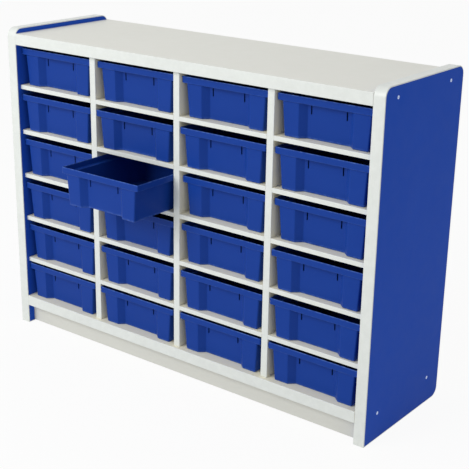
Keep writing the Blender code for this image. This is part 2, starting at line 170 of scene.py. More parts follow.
class Shading(Graph):
    """The shader nodes of one finish."""

    def __init__(self, name: str) -> None:
        """Start a material with a plain Principled shader.

        Args:
            name: The material's name.
        """
        self.material = bpy.data.materials.new(name)
        self.material.use_nodes = True
        super().__init__(self.material.node_tree)
        self.surface = self.tree.nodes["Principled BSDF"]
        self.place = self.add("ShaderNodeTexCoord").outputs["Object"]

    def noise(self, scale: float, detail: float = 2.0, roughness: float = 0.5,
              stretch: Triple = (1.0, 1.0, 1.0)) -> Socket:
        """A noise that stays with the piece.

        Args:
            scale: Cells to the metre.
            detail: Number of finer layers.
            roughness: Weight of the finer layers.
            stretch: How much each axis is squeezed, so that marks can run in one direction.

        Returns:
            The noise's value, from 0 to 1 round 0.5.
        """
        mapping = self.add("ShaderNodeMapping", Scale=stretch)
        texture = self.add("ShaderNodeTexNoise", Scale=scale, Detail=detail, Roughness=roughness)
        self.join(self.place, mapping.inputs["Vector"])
        self.join(mapping.outputs["Vector"], texture.inputs["Vector"])
        return texture.outputs["Fac"]

    def spread(self, source: Socket, low: float, high: float, start: float = 0.3,
               end: float = 0.7) -> Socket:
        """Map a value from one range to another, held at its ends.

        Args:
            source: The value to map.
            low: Result at `start`.
            high: Result at `end`.
            start: Value that gives `low`.
            end: Value that gives `high`.

        Returns:
            The mapped value.
        """
        node = self.add("ShaderNodeMapRange", From_Min=start, From_Max=end, To_Min=low, To_Max=high)
        self.join(source, node.inputs["Value"])
        return node.outputs["Result"]

    def blend(self, share: Socket, one: Socket | Colour, two: Socket | Colour) -> Socket:
        """Mix two colours.

        Args:
            share: How much of the second colour shows, from 0 to 1.
            one: The first colour, or a socket that gives it.
            two: The second colour, or a socket that gives it.

        Returns:
            The mixed colour.
        """
        node = self.add("ShaderNodeMix")
        node.data_type = "RGBA"
        self.join(share, node.inputs["Factor"])
        for socket, colour in ((node.inputs[6], one), (node.inputs[7], two)):
            if isinstance(colour, tuple):
                socket.default_value = (*colour, 1.0)
            else:
                self.join(colour, socket)
        return node.outputs[2]

    def wear_and_sheen(self) -> Socket:
        """The piece's own edge mask, which marks rubbing and where a highlight is painted.

        Returns:
            1 on the piece's edges, where rubbing and a painted highlight show, and 0 elsewhere.
        """
        node = self.add("ShaderNodeAttribute")
        node.attribute_name = "wear_and_sheen"
        return node.outputs["Fac"]

    def emboss(self, height: Socket, depth: float, under: Socket | None = None) -> Socket:
        """Turn a height into a bump.

        Args:
            height: The height, from 0 to 1.
            depth: The real height of 1, in metres.
            under: A bump that this one is laid over.

        Returns:
            The bump's normal.
        """
        node = self.add("ShaderNodeBump", Distance=depth)
        self.join(height, node.inputs["Height"])
        if under is not None:
            self.join(under, node.inputs["Normal"])
        return node.outputs["Normal"]

    def finish(self, colour: Socket, roughness: Socket, normal: Socket) -> Material:
        """Join the three patterns to the shader.

        Args:
            colour: The base colour.
            roughness: The roughness.
            normal: The bumps' normal.

        Returns:
            The finished material.
        """
        self.join(colour, self.surface.inputs["Base Color"])
        self.join(roughness, self.surface.inputs["Roughness"])
        self.join(normal, self.surface.inputs["Normal"])
        return self.material


# Finishes


@dataclass(frozen=True)
class Finish:
    """What every finish has.

    Attributes:
        name: The material's name.
        colour: Its colour.
    """

    name: str
    colour: Colour


@dataclass(frozen=True)
class Laminate(Finish):
    """Melamine laminate: an even colour with a pearl emboss, faint clouds and rubbing marks.

    Attributes:
        scuff: The colour of the rubbing marks.
        cloud: How far the colour drifts, as a share.
        marks: How strongly the marks show.
        gloss: Lowest and highest roughness.
        specular: Specular level.
    """

    scuff: Colour
    cloud: float = 0.020
    marks: float = 0.25
    gloss: tuple[float, float] = (0.42, 0.54)
    specular: float = 0.25

    def material(self) -> Material:
        """Build the material.

        Returns:
            The new material.
        """
        shade = Shading(self.name)
        shade.surface.inputs["Specular IOR Level"].default_value = self.specular
        darker = tuple(c * (1.0 - self.cloud) for c in self.colour)
        clouds = shade.spread(shade.noise(2.3, 4.0, 0.55), 0.0, 1.0)
        base = shade.blend(clouds, self.colour, darker)
        rubs = shade.spread(shade.noise(9.0, 6.0, 0.62, (1.0, 1.0, 0.35)), 0.0, self.marks, 0.58, 0.74)
        colour = shade.blend(rubs, base, self.scuff)
        rough = shade.spread(shade.noise(34.0, 5.0, 0.6), *self.gloss)
        pearl = shade.emboss(shade.noise(720.0, 2.0, 0.5), 0.00006)
        waves = shade.emboss(shade.noise(16.0, 1.0, 0.4), 0.00005, pearl)
        return shade.finish(colour, rough, waves)


@dataclass(frozen=True)
class EdgeBand(Finish):
    """Extruded edging: smoother than the laminate, with faint lines along it and rounded corners painted
    paler, partly for rubbing and partly as a painted highlight.

    Attributes:
        rubbed_and_sheen: The paler colour of its rounded corners, partly rubbing and partly a painted
            highlight.
        lines: How much each axis is squeezed, so that the lines run along the strip.
    """

    rubbed_and_sheen: Colour
    lines: Triple

    def material(self) -> Material:
        """Build the material.

        Returns:
            The new material.
        """
        shade = Shading(self.name)
        shade.surface.inputs["Specular IOR Level"].default_value = 0.45
        darker = tuple(c * 0.965 for c in self.colour)
        clouds = shade.spread(shade.noise(6.0, 3.0), 0.0, 1.0)
        base = shade.blend(clouds, self.colour, darker)
        rubs = shade.spread(shade.noise(60.0, 4.0, 0.6), 0.15, 0.75, 0.42, 0.66)
        # Paler on the rounded corners: rubbing and a painted highlight.
        colour = shade.blend(shade.work_out("MULTIPLY", shade.wear_and_sheen(), rubs), base, self.rubbed_and_sheen)
        rough = shade.spread(shade.noise(90.0, 3.0, 0.5, self.lines), 0.30, 0.44)
        drawn = shade.emboss(shade.noise(900.0, 2.0, 0.5, self.lines), 0.00003)
        return shade.finish(colour, rough, drawn)


@dataclass(frozen=True)
class MouldedPlastic(Finish):
    """Injection-moulded tray plastic: a fine spark grain, flow clouds, and edges painted paler, partly for
    rubbing and partly as a painted highlight on the rim.

    Attributes:
        flow: The colour of its flow clouds.
        rubbed_and_sheen: The paler colour of its edges, partly rubbing and partly a painted highlight along
            the rim.
        gloss: Lowest and highest roughness.
    """

    flow: Colour
    rubbed_and_sheen: Colour
    gloss: tuple[float, float] = (0.30, 0.42)

    def material(self) -> Material:
        """Build the material.

        Returns:
            The new material.
        """
        shade = Shading(self.name)
        shade.surface.inputs["Specular IOR Level"].default_value = 0.10
        clouds = shade.spread(shade.noise(11.0, 3.0, 0.5, (1.0, 1.0, 2.2)), 0.0, 1.0)
        base = shade.blend(clouds, self.colour, self.flow)
        rubs = shade.spread(shade.noise(130.0, 4.0, 0.6), 0.10, 0.85, 0.40, 0.64)
        # Paler where the edge mask is high: rubbing on the edges and a painted highlight along the rim.
        colour = shade.blend(shade.work_out("MULTIPLY", shade.wear_and_sheen(), rubs), base, self.rubbed_and_sheen)
        rough = shade.spread(shade.noise(48.0, 5.0, 0.6), *self.gloss)
        grain = shade.emboss(shade.noise(1500.0, 2.0, 0.5), 0.00004)
        sinks = shade.emboss(shade.noise(24.0, 1.0, 0.4), 0.00005, grain)
        return shade.finish(colour, rough, sinks)


@dataclass(frozen=True)
class PlatedSteel(Finish):
    """Bright zinc plating with faint turning marks and a little tarnish.

    Attributes:
        tarnish: The colour of its dull spots.
    """

    tarnish: Colour

    def material(self) -> Material:
        """Build the material.

        Returns:
            The new material.
        """
        shade = Shading(self.name)
        shade.surface.inputs["Metallic"].default_value = 1.0
        spots = shade.spread(shade.noise(900.0, 4.0, 0.6), 0.0, 0.5, 0.45, 0.7)
        colour = shade.blend(spots, self.colour, self.tarnish)
        rough = shade.spread(shade.noise(1600.0, 3.0), 0.22, 0.42)
        turned = shade.emboss(shade.noise(5200.0, 1.0), 0.000008)
        return shade.finish(colour, rough, turned)


@dataclass(frozen=True)
class Finishes:
    """Every finish of the unit.

    Attributes:
        blue_laminate: On the side panels.
        white_laminate: On the top and the back.
        shade_warmed_laminate: On the deck, the uprights and the shelves: a lighter, warmer copy of the
            white laminate, which paints the warm light in the compartments' shade.
        long_edging: On the strips that run along X.
        upright_edging: On the strips that run upwards.
        tray_plastic: Of the trays.
        shaded_kick_laminate: On the kick boards: a darker, greyer copy of the white laminate, which paints
            the shade under the deck.
        screw_steel: Of the screws.
    """

    blue_laminate: Laminate = Laminate(
        "blue_laminate", (0.0154, 0.0800, 0.5050), (0.020, 0.091, 0.533), 0.030, 0.30, (0.42, 0.52), 0.04)
    white_laminate: Laminate = Laminate(
        "white_laminate", (0.808, 0.810, 0.750), (0.77, 0.76, 0.70))
    # A lighter, warmer copy of the white laminate: painted warm light for the shaded boards inside the
    # case.
    shade_warmed_laminate: Laminate = Laminate(
        "shade_warmed_laminate", (0.912, 0.876, 0.705), (0.87, 0.84, 0.67))
    # The edging's last colour is its paler corner colour: rubbing and a painted highlight.
    long_edging: EdgeBand = EdgeBand(
        "white_edging_long", (0.718, 0.748, 0.716), (0.76, 0.79, 0.76), (0.02, 1.0, 1.0))
    upright_edging: EdgeBand = EdgeBand(
        "white_edging_upright", (0.718, 0.748, 0.716), (0.76, 0.79, 0.76), (1.0, 1.0, 0.02))
    # The tray plastic's last colour is its paler edge colour: rubbing and a painted highlight on the rim.
    tray_plastic: MouldedPlastic = MouldedPlastic(
        "tray_plastic", (0.0080, 0.0462, 0.2890), (0.0072, 0.0436, 0.2780), (0.075, 0.155, 0.480))
    # A darker, greyer copy of the white laminate: painted shade for the kick boards under the deck.
    shaded_kick_laminate: Laminate = Laminate(
        "shaded_kick_laminate", (0.648, 0.652, 0.612), (0.58, 0.57, 0.53))
    screw_steel: PlatedSteel = PlatedSteel("screw_steel", (0.50, 0.60, 0.80), (0.35, 0.42, 0.57))


# Surfaces


def ring_quads(rings: int, around: int) -> Array:
    """Quads between successive closed rings of points.

    Point c of ring r has the index r * around + c, and each quad joins (r, c), (r, c + 1),
    (r + 1, c + 1) and (r + 1, c), where c + 1 wraps round.

    Args:
        rings: Number of rings.
        around: Points in a ring.

    Returns:
        Indices, one row of four for each quad.
    """
    first = np.arange(rings - 1)[:, None] * around
    here = np.arange(around)[None, :]
    after = (here + 1) % around
    corners = [first + here, first + after, first + around + after, first + around + here]
    return np.stack(corners, axis=-1).reshape(-1, 4)


def end_faces(rings: int, around: int) -> list[list[int]]:
    """The two faces that close a tube of rings.

    Args:
        rings: Number of rings.
        around: Points in a ring.

    Returns:
        The first ring's points turned round, and the last ring's.
    """
    return [list(reversed(range(around))), list(range((rings - 1) * around, rings * around))]


def enclosed_volume(points: Array, faces: Sequence[Sequence[int]]) -> float:
    """Volume inside a closed surface, negative where its faces point inwards.

    Each face is cut into triangles from its first corner, and each triangle adds a sixth of
    the triple product of its corners.

    Args:
        points: The points, one row each.
        faces: The corners' indices, face by face.

    Returns:
        The signed volume.
    """
    triangles = np.array([(f[0], f[k], f[k + 1]) for f in faces for k in range(1, len(f) - 1)])
    a, b, c = (points[triangles[:, k]] for k in range(3))
    return float(np.einsum("ij,ij->i", a, np.cross(b, c)).sum() / 6.0)


def arc(centre: tuple[float, float], radius: float, start: float, end: float, steps: int) -> Array:
    """Points of an arc: centre + radius (cos a, sin a), with a running evenly from start to end.

    Args:
        centre: The arc's centre.
        radius: Its radius.
        start: First angle, in degrees.
        end: Last angle, in degrees.
        steps: Number of straight steps.

    Returns:
        The points, one row each.
    """
    angle = np.radians(np.linspace(start, end, steps + 1))
    return np.array(centre) + radius * np.stack([np.cos(angle), np.sin(angle)], axis=1)


def put(name: str, data: bpy.types.ID) -> bpy.types.Object:
    """Put a new object into the scene.

    Args:
        name: Its name.
        data: Its mesh, lamp or camera.

    Returns:
        The object.
    """
    made = bpy.data.objects.new(name, data)
    bpy.context.scene.collection.objects.link(made)
    return made


def make_piece(name: str, points: Array, faces: list[Sequence[int]],
               finishes: Sequence[Material], choice: Array | None = None,
               wear_and_sheen: Array | None = None, sharp: float = 38.0) -> bpy.types.Object:
    """Put a closed surface into the scene with smooth shading that keeps its flats flat.

    Args:
        name: The object's name.
        points: The points in the row frame, one row each.
        faces: The corners' indices, face by face, all turning the same way.
        finishes: The materials.
        choice: Which material each face takes, or None for the first.
        wear_and_sheen: How much rubbing each point shows, from 0 to 1, where a highlight is also painted,
            or None.
        sharp: Angle over which an edge stays sharp, in degrees.

    Returns:
        The new object.
    """
    if enclosed_volume(points, faces) < 0:
        faces = [tuple(reversed(face)) for face in faces]
    mesh = bpy.data.meshes.new(name)
    mesh.from_pydata(points.tolist(), [], faces)
    for finish in finishes:
        mesh.materials.append(finish)
    if choice is not None:
        mesh.polygons.foreach_set("material_index", choice.astype(np.int32))
    if wear_and_sheen is not None:
        mesh.attributes.new("wear_and_sheen", "FLOAT", "POINT").data.foreach_set("value", wear_and_sheen.astype(np.float32))
    mesh.shade_smooth()
    mesh.set_sharp_from_angle(angle=math.radians(sharp))
    piece = put(name, mesh)
    normals = piece.modifiers.new("flats", "WEIGHTED_NORMAL")
    normals.keep_sharp = True
    normals.weight = 50
    return piece


def settle(piece: bpy.types.Object, body: str, nodes: Sequence[str] = ()) -> None:
    """Make a piece ride on a body and let it stand for CAD nodes.

    Args:
        piece: The piece.
        body: The body that it moves with.
        nodes: The CAD nodes that it replaces.
    """
    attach(piece, body)
    if nodes:
        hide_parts(*nodes)


def node_box(node: str) -> tuple[Array, Array]:
    """Where a CAD node is.

    Args:
        node: The node's name.

    Returns:
        Its lowest and its highest corner.
    """
    low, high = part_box(node)
    return np.array(low), np.array(high)


# The case


@dataclass
class LippedBoard:
    """A laminated board with an edging strip on its front.

    Attributes:
        node: The CAD node that it stands for.
        run: The axis that its section is carried along.
        strip: Thickness of the edging.
        front_radius: Radius of the edging's corners.
        rear_radius: Radius of the other corners.
        joint: Width of the glue joint's flank behind the edging.
        tongue: How much of each end of the CAD node is housed out of sight.
        steps: Straight steps in each rounded corner.
    """

    node: str
    run: RunAxis
    strip: float = 0.0018
    front_radius: float = 0.0011
    rear_radius: float = 0.0004
    joint: float = 0.00012
    tongue: float = 0.0
    steps: int = 5

    def section(self, depth: float, thick: float) -> tuple[Array, Array, Array]:
        """The board's outline across its length, from the front's lower corner upwards.

        The corners are quarter circles, and the glue joint is a shallow V in both faces.

        Args:
            depth: The board's size from front to rear.
            thick: Its thickness.

        Returns:
            The points as (depth, thickness), how much rubbing each shows, with a painted highlight on
            the front's rounded corners, and whether the face after each belongs to the edging.
        """
        r, q, s, j = self.front_radius, self.rear_radius, self.strip, self.joint
        front_low = arc((r, r), r, -90.0, -180.0, self.steps)
        front_high = arc((r, thick - r), r, 180.0, 90.0, self.steps)
        upper = np.array([(s, thick), (s + j, thick - j), (s + 2 * j, thick)])
        rear_high = arc((depth - q, thick - q), q, 90.0, 0.0, 2)
        rear_low = arc((depth - q, q), q, 0.0, -90.0, 2)
        lower = np.array([(s + 2 * j, 0.0), (s + j, j), (s, 0.0)])
        parts = [front_low, front_high, upper, rear_high, rear_low, lower]
        points = np.concatenate(parts)
        # Full rubbing on the front's rounded corners, which the edging paints paler: rubbing and a painted
        # highlight.
        worn_and_sheen = np.concatenate([np.full(len(part), value) for part, value in
                               zip(parts, (1.0, 1.0, 0.1, 0.3, 0.3, 0.1))])
        edging = np.zeros(len(points), bool)
        edging[:len(front_low) + len(front_high)] = True
        edging[-1] = True
        return points, worn_and_sheen, edging

    def build(self, laminate: Material, edging: Material) -> bpy.types.Object:
        """Carry the section from one end of the board to the other, and close the ends.

        Args:
            laminate: The faces' material.
            edging: The strip's material.

        Returns:
            The board.
        """
        low, high = node_box(self.node)
        across = 2 if self.run is RunAxis.X else 0
        section, worn_and_sheen, lipped = self.section(high[1] - low[1], high[across] - low[across])
        ends = low[self.run.value] + self.tongue, high[self.run.value] - self.tongue
        stations = np.linspace(*ends, 3)
        points = np.zeros((len(stations), len(section), 3))
        points[:, :, self.run.value] = stations[:, None]
        points[:, :, 1] = low[1] + section[:, 0]
        points[:, :, across] = low[across] + section[:, 1]
        around, rings = len(section), len(stations)
        faces = ring_quads(rings, around).tolist() + end_faces(rings, around)
        choice = np.concatenate([np.tile(lipped, rings - 1), [False, False]])
        piece = make_piece(self.node + "_board", points.reshape(-1, 3), faces, (laminate, edging),
                           choice, np.tile(worn_and_sheen, rings))
        settle(piece, CASE, [self.node])
        return piece


@dataclass
class SideEdging:
    """The strip that runs round a side panel.

    Attributes:
        side: The panel that it belongs to.
        corner_radius: Radius of the panel's three round corners.
        thickness: How deep the strip reaches towards the panel's middle.
        edge_radius: Radius of the strip's own outer corners.
        corner_steps: Straight steps in each of the panel's corners.
        edge_steps: Straight steps in each of the strip's corners.
    """

    side: Side
    corner_radius: float = 0.022
    thickness: float = 0.00225
    edge_radius: float = 0.0013
    corner_steps: int = 24
    edge_steps: int = 5

    @property
    def node(self) -> str:
        """Name the CAD node that the strip stands for.

        Returns:
            The node's name.
        """
        return self.side.name.lower() + "_side_edging"

    def outlines(self, insets: Array, low: Array, high: Array) -> Array:
        """The panel's outline, once for each distance inwards.

        A round corner is centre + (corner radius - inset) (cos a, sin a); the square one at the
        front's foot is the corner moved inwards along both axes.

        Args:
            insets: The distances.
            low: The panel's lowest corner.
            high: Its highest corner.

        Returns:
            An array of (inset, point, (Y, Z)).
        """
        radius = self.corner_radius
        centres = np.array([(high[1] - radius, low[2] + radius), (high[1] - radius, high[2] - radius),
                            (low[1] + radius, high[2] - radius)])
        angle = np.linspace(0.0, np.pi / 2, self.corner_steps + 1)
        angles = np.array([-np.pi / 2, 0.0, np.pi / 2])[:, None] + angle
        ways = np.stack([np.cos(angles), np.sin(angles)], axis=-1)
        shrunk = (radius - insets)[:, None, None, None]
        corners = (centres[None, :, None, :] + shrunk * ways[None]).reshape(len(insets), -1, 2)
        square = np.stack([low[1] + insets, low[2] + insets], axis=-1)[:, None, :]
        return np.concatenate([square, corners], axis=1)

    def build(self, edging: Material) -> bpy.types.Object:
        """Carry the strip's section round the panel's outline.

        Args:
            edging: The strip's material.

        Returns:
            The strip.
        """
        low, high = node_box(self.node)
        width, r = high[0] - low[0], self.edge_radius
        near = arc((r, r), r, 180.0, 270.0, self.edge_steps)
        far = arc((width - r, r), r, 270.0, 360.0, self.edge_steps)
        inner = np.array([(width, self.thickness), (0.0, self.thickness)])
        section = np.concatenate([near, far, inner])
        outlines = self.outlines(section[:, 1], low, high)
        x = np.broadcast_to(low[0] + section[:, 0, None, None], (*outlines.shape[:2], 1))
        points = np.concatenate([x, outlines], axis=2).transpose(1, 0, 2)
        around, rings = len(section), points.shape[0]
        quads = ring_quads(rings + 1, around) % (rings * around)
        # The strip's outer corners get full rubbing, which paints them paler: rubbing and a painted
        # highlight.
        worn_and_sheen = np.concatenate([np.ones(len(near) + len(far)), np.zeros(2)])
        piece = make_piece(self.node + "_strip", points.reshape(-1, 3), quads.tolist(), (edging,),
                           wear_and_sheen=np.tile(worn_and_sheen, rings), sharp=STRIP_SHARP)
        settle(piece, CASE, [self.node])
        return piece


@dataclass
class PanelScrew:
    """A domed screw head with a cross recess, and its shank.

    Attributes:
        side: The panel that it holds.
        place: The level and the end of the panel, as in the node's name.
        radius: Head radius.
        height: Head height below the panel's face.
        dome: Rise of the head's middle.
        shank: Shank radius.
        cross: Width, length and depth of the recess.
        ramp: Width of the slopes round the recess.
        sink: How far the head lies inside the panel's face.
        point: Radius of the ring that closes an end.
        around: Points round the axis.
    """

    side: Side
    place: str
    radius: float = 0.0040
    height: float = 0.0018
    dome: float = 0.0005
    shank: float = 0.0020
    cross: Triple = (0.0011, 0.0042, 0.0010)
    ramp: float = 0.0003
    sink: float = 0.0002
    point: float = 0.0001
    around: int = 48

    def recess(self, a: Array, b: Array) -> Array:
        """How deep the cross is at a point of the head, as a share of its depth.

        Each arm is the product of a slope across its width and a slope along its length, and the
        deeper of the two arms counts.

        Args:
            a: Distance from the axis along one arm.
            b: Distance from the axis along the other.

        Returns:
            The share, from 0 to 1.
        """
        width, length, _ = self.cross

        def arm(distance: Array, size: float) -> Array:
            """Fall from 1 inside half a size to 0 a little past it.

            Args:
                distance: Distance from the arm's middle.
                size: The arm's size.

            Returns:
                The slope's value.
            """
            return np.clip((size / 2 - np.abs(distance)) / self.ramp + 0.5, 0.0, 1.0)

        return np.maximum(arm(a, width) * arm(b, length), arm(b, width) * arm(a, length))

    def build(self, steel: Material) -> bpy.types.Object:
        """Turn the screw about its axis, with the cross pressed into its head.

        The head's face rises by dome (1 - (r / radius) squared) at the distance r from the axis.

        Args:
            steel: The screw's material.

        Returns:
            The screw.
        """
        node = "right_screw_" + self.place
        low, high = node_box(node)
        panel_low, panel_high = node_box(SideEdging(self.side).node)
        face = panel_high[0] if self.side is Side.RIGHT else panel_low[0]
        centre = (low + high) / 2
        angle = 2 * np.pi * np.arange(self.around) / self.around
        radii = np.concatenate([[self.point], np.linspace(0.0003, 0.92, 16) * self.radius,
                                self.radius * np.array([0.97, 1.0])])
        rise = self.dome * (1.0 - (radii / self.radius) ** 2) - self.sink
        a, b = radii[:, None] * np.cos(angle), radii[:, None] * np.sin(angle)
        out = rise[:, None] - self.cross[2] * self.recess(a, b)
        if self.side is Side.RIGHT:
            under = -self.sink - self.height
            tip = low[0] - face
            extra = [(under, self.radius), (under, self.shank), (tip + 1.5 * self.shank, self.shank),
                     (tip, self.point)]
        else:
            film = 0.00002
            out = np.maximum(out + self.sink, 2 * film)
            extra = [(film, self.radius), (film, self.point)]
        low_out, low_radii = (np.array(values)[:, None] for values in zip(*extra))
        out = np.concatenate([out, np.repeat(low_out, self.around, axis=1)])
        a = np.concatenate([a, low_radii * np.cos(angle)])
        b = np.concatenate([b, low_radii * np.sin(angle)])
        points = np.stack([face + self.side.value * out, centre[1] + a, centre[2] + b], axis=-1)
        rings = len(points)
        faces = ring_quads(rings, self.around).tolist() + end_faces(rings, self.around)
        name = f"{self.side.name.lower()}_screw_{self.place}_head"
        piece = make_piece(name, points.reshape(-1, 3), faces, (steel,))
        settle(piece, CASE, [node] if self.side is Side.RIGHT else [])
        return piece


@dataclass
class Case:
    """The laminated case: side panels, boards, shelves, back, kick boards and screws.

    Attributes:
        columns: Columns of compartments.
        rows: Rows of compartments.
        finishes: The finishes to use.
    """

    columns: int
    rows: int
    finishes: Finishes

    def boards(self) -> list[LippedBoard]:
        """List the boards that have an edging strip on their front.

        Returns:
            The boards.
        """
        level = [LippedBoard(node, RunAxis.X, front_radius=LEVEL_EDGE_RADIUS)
                 for node in ("top_board", "deck_board")]
        upright = [LippedBoard(f"upright_{n}", RunAxis.Z) for n in range(1, self.columns)]
        shelves = [LippedBoard(f"shelf_c{c}_r{r}", RunAxis.X, tongue=SHELF_TONGUE)
                   for c in range(1, self.columns + 1) for r in range(1, self.rows)]
        return level + upright + shelves

    def build(self) -> list[bpy.types.Object]:
        """Build the case's own pieces and dress the CAD nodes that stay.

        Returns:
            The new pieces.
        """
        white = self.finishes.white_laminate.material()
        # The boards inside the case get the lighter, warmer copy, which paints the warm light in their
        # shade.
        inner = self.finishes.shade_warmed_laminate.material()
        # The kick boards get the darker, greyer copy, which paints the shade under the deck.
        kick = self.finishes.shaded_kick_laminate.material()
        blue = self.finishes.blue_laminate.material()
        along = self.finishes.long_edging.material()
        upwards = self.finishes.upright_edging.material()
        steel = self.finishes.screw_steel.material()
        pieces = []
        for board in self.boards():
            face = white if board.node == "top_board" else inner
            pieces.append(board.build(face, along if board.run is RunAxis.X else upwards))
        for side in Side:
            pieces.append(SideEdging(side).build(upwards))
            for level in ("top", "deck"):
                for end in ("front", "rear"):
                    pieces.append(PanelScrew(side, f"{level}_{end}").build(steel))
        for node, finish in (("left_side", blue), ("right_side", blue), ("back_panel", white),
                             ("front_kick_board", kick), ("rear_kick_board", kick)):
            dress(node, finish)
        return pieces


def dress(node: str, finish: Material) -> None:
    """Give a CAD node that stays in view a material.

    Args:
        node: The node's name.
        finish: The material.
    """
    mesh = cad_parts[node].data
    mesh.materials.clear()
    mesh.materials.append(finish)


# The trays


@dataclass
class Tray:
    """A moulded tray: a leaning tub with a wider collar, a recessed front and two label slots.

    Attributes:
        wall: Thickness of the walls.
        floor: Thickness of the floor.
        collar: Height of the collar's upright face.
        slope: How far the collar's underside falls from its edge to the body.
        overhang: How far the collar stands out at the sides and the rear.
        front_overhang: How far it stands out in front of the shoulders.
        collar_radius: Radius of the collar's corners.
        body_radius: Radius of the body's corners.
        taper: How far the sides and the rear lean in.
        front_taper: How far the front leans in.
        recess: Half width, flare and depth of the recess.
        slot: Offset, width, length and height above the foot of the label slots.
        fillet: Radius of the recess's own corners.
        foot_radius: Radius of the edge round the foot.
        foot_hollow: Width of the foot's ring, width of the slope inside it and depth of the hollow.
        well_radius: Radius of the edge round the inside of the floor.
        least_radius: The least radius of an upright corner.
        size: Width, length and height.
    """

    wall: float = 0.0022
    floor: float = 0.0028
    collar: float = 0.015
    slope: float = 0.0015
    overhang: float = 0.0097
    front_overhang: float = 0.003
    collar_radius: float = 0.003
    body_radius: float = 0.0035
    taper: float = 0.0070
    front_taper: float = 0.0020
    recess: Triple = (0.068, 0.015, 0.0135)
    slot: tuple[float, float, float, float] = (0.0442, 0.0035, 0.0185, 0.0540)
    fillet: float = 0.0030
    foot_radius: float = 0.0025
    foot_hollow: Triple = (0.0085, 0.0010, 0.0010)
    well_radius: float = 0.0040
    least_radius: float = 0.0015
    size: Array = field(default_factory=lambda: np.array([0.2431, 0.298, 0.093]))

    def rounded(self, corners: Array, radii: Array, steps: int) -> Array:
        """Round some corners of a plan.

        A corner at C between the unit directions p and q, which turn by t, starts r tan(t / 2)
        before C. Its arc is start + r (sin f p + sign(t) (1 - cos f) n), where n is square to p
        and f runs from 0 to the size of t.

        Args:
            corners: The plan's corners in order, one row each, with a neighbour at either end.
            radii: Radius of each corner between the two ends.
            steps: Straight steps in each arc.

        Returns:
            The arcs' points in order.
        """
        before, here, after = corners[:-2], corners[1:-1], corners[2:]
        p = here - before
        q = after - here
        p /= np.linalg.norm(p, axis=1)[:, None]
        q /= np.linalg.norm(q, axis=1)[:, None]
        turn = np.arctan2(p[:, 0] * q[:, 1] - p[:, 1] * q[:, 0], (p * q).sum(axis=1))
        start = here - p * (radii * np.tan(np.abs(turn) / 2))[:, None]
        normal = np.stack([-p[:, 1], p[:, 0]], axis=1)
        f = np.abs(turn)[:, None] * np.linspace(0.0, 1.0, steps + 1)
        along = (radii[:, None] * np.sin(f))[..., None] * p[:, None, :]
        bend = radii[:, None] * (1.0 - np.cos(f)) * np.sign(turn)[:, None]
        aside = bend[..., None] * normal[:, None, :]
        return (start[:, None, :] + along + aside).reshape(-1, 2)

    def front_line(self, front: float, inward: float) -> Array:
        """The front between its two outer corners: shoulder, recess with the slots' edges, shoulder.

        Args:
            front: Y of the shoulders.
            inward: Distance that the wall's thickness or a rounding moves the line inwards.

        Returns:
            The points from left to right.
        """
        half, flare, depth = self.recess
        slope = flare / depth
        outer = half + inward * (math.sqrt(1.0 + slope * slope) - slope)
        inner, back = outer - flare, front + depth
        reach = self.size[0] / 2
        corners = np.array([(-reach, front), (-outer, front), (-inner, back), (0.0, back)])
        convex = max(self.fillet - inward, 0.0004)
        left = self.rounded(corners, np.array([convex, self.fillet + inward]), 4)
        offset, width = self.slot[:2]
        edges = np.array([(-offset - width / 2, back), (-offset + width / 2, back)])
        right = np.concatenate([left, edges])[::-1] * (-1.0, 1.0)
        return np.concatenate([left, edges, right])

    def outline(self, height: float, inward: float, spread: float) -> Array:
        """The tray's plan at one height, between the body's and the collar's.

        The plan is body + spread (collar - body). The body's half width is half the collar's,
        less the overhang and less the taper times (1 - height / full height). The collar has the
        body's front points, moved to its front.

        Args:
            height: Height above the foot.
            inward: Distance inwards from the outer surface.
            spread: 0 for the body's plan, 1 for the collar's.

        Returns:
            The points, one row of (X, Y, Z) each, from the front's left round to the rear.
        """
        width, length, full = self.size
        lean = 1.0 - height / full
        front = self.front_overhang + self.front_taper * lean + inward
        line = self.front_line(front, inward)
        drawn_in = self.overhang + self.taper * lean
        body = self.closed(line, width / 2 - drawn_in - inward, front, length - drawn_in - inward,
                           self.body_radius - inward)
        level = np.stack([line[:, 0], np.full(len(line), inward)], axis=1)
        collar = self.closed(level, width / 2 - inward, inward, length - inward,
                             self.collar_radius - inward)
        plan = body + spread * (collar - body)
        return np.column_stack([plan, np.full(len(plan), height)])

    def closed(self, line: Array, half: float, front: float, rear: float, radius: float) -> Array:
        """Close a front line round the sides and the rear, with four rounded corners.

        Args:
            line: The front's points from left to right.
            half: Half the width.
            front: Y of the front's outer ends.
            rear: Y of the rear.
            radius: Radius of the corners, which the least radius replaces where it is smaller.

        Returns:
            The closed plan.
        """
        r = max(radius, self.least_radius)
        centres = ((half - r, front + r), (half - r, rear - r), (r - half, rear - r), (r - half, front + r))
        corners = [arc(centre, r, 90.0 * quarter, 90.0 * (quarter + 1), 7)
                   for quarter, centre in enumerate(centres, start=-1)]
        return np.concatenate([line, *corners])

